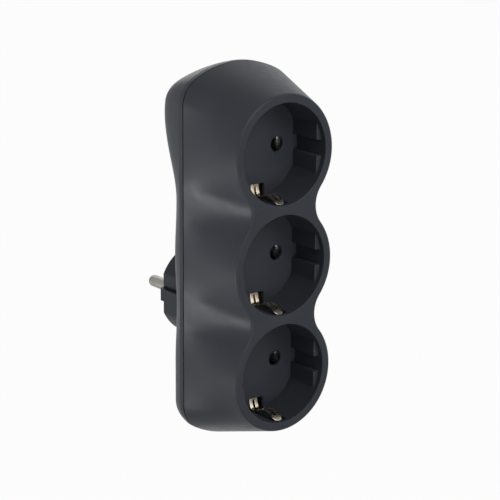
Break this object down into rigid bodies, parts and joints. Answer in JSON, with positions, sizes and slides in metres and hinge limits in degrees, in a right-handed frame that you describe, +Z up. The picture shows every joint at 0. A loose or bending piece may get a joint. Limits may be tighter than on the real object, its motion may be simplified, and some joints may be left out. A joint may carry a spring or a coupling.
{
  "type": "triple socket adapter",
  "caption": "Upright plug-in adapter with recessed earthed sockets one above another on the front and a round two-pin plug on the back.",
  "frame": {"origin": "centre of the plug's end face, between its two pins", "axes": "+Y out of the back along the plug's pins, towards the wall; +Z up along the row of sockets; +X to the right as seen from the front"},
  "size_m": [0.0518, 0.0756, 0.15],
  "materials": {
    "housing_plastic": "fine satin moulding texture",
    "plug_plastic": "satin",
    "pin_plating": "nickel plated",
    "contact_plating": "bright nickel over brass",
    "brass_strip": "rolled",
    "screw_steel": "zinc plated"
  },
  "bodies": {
    "root": {"front_housing": "housing_plastic", "rear_cover": "housing_plastic", "plug_body": "plug_plastic", "plug_pin_left": "pin_plating", "plug_pin_right": "pin_plating", "neutral_busbar": "brass_strip", "live_busbar": "brass_strip", "contact_top_left": "contact_plating", "contact_top_right": "contact_plating", "contact_middle_left": "contact_plating", "contact_middle_right": "contact_plating", "contact_bottom_left": "contact_plating", "contact_bottom_right": "contact_plating", "earth_clip_top_upper": "contact_plating", "earth_clip_top_lower": "contact_plating", "earth_clip_middle_upper": "contact_plating", "earth_clip_middle_lower": "contact_plating", "earth_clip_bottom_upper": "contact_plating", "earth_clip_bottom_lower": "contact_plating", "earth_bar": "brass_strip", "plug_earth_bracket": "contact_plating", "plug_earth_sleeve": "contact_plating", "cover_screw_1": "screw_steel", "cover_screw_2": "screw_steel", "cover_screw_3": "screw_steel", "cover_screw_4": "screw_steel"}
  },
  "joints": []
}
